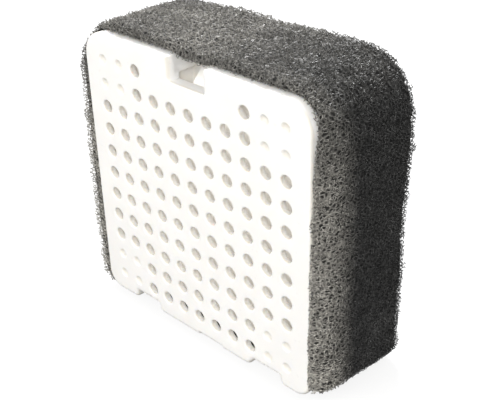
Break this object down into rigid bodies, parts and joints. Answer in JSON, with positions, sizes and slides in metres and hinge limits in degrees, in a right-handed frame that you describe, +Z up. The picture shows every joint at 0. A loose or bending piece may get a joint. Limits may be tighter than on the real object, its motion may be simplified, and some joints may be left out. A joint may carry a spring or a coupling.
{
  "type": "sponge filter cartridge",
  "caption": "Flat aquarium filter cartridge: a perforated white plastic grille snapped onto a media tray, wrapped by a block of charcoal open-cell foam.",
  "frame": {"origin": "under the middle of the whole cartridge, on the plane that the foam stands on", "axes": "the grille faces -Y, the foam's back faces +Y, +Z is up with the latch notch on top, +X is to the right seen from the front"},
  "size_m": [0.0814, 0.0306, 0.0787],
  "materials": {
    "white_plastic": "satin",
    "white_floss": "matte",
    "carbon_mesh": "matte",
    "charcoal_foam": "matte"
  },
  "bodies": {
    "cartridge": {"rear_tray": "white_plastic", "floss_pad": "white_floss", "carbon_bag": "carbon_mesh"},
    "grille": {"front_grille": "white_plastic"},
    "latch": {"latch_tongue": "white_plastic"},
    "foam": {"foam_block": "charcoal_foam"}
  },
  "joints": [
    {"name": "cover_swing", "type": "hinge", "parent": "cartridge", "child": "grille", "pos_m": [0, -0.01195, 0.0046], "axis": [1, 0, 0], "range_deg": [0, 75]},
    {"name": "latch_flex", "type": "hinge", "parent": "cartridge", "child": "latch", "pos_m": [0, -0.0064, 0.06915], "axis": [1, 0, 0], "range_deg": [0, 15], "stiffness_Nm_per_rad": 0.05},
    {"name": "foam_slide", "type": "slide", "parent": "cartridge", "child": "foam", "axis": [0, 1, 0], "range_m": [0, 0.03]}
  ]
}
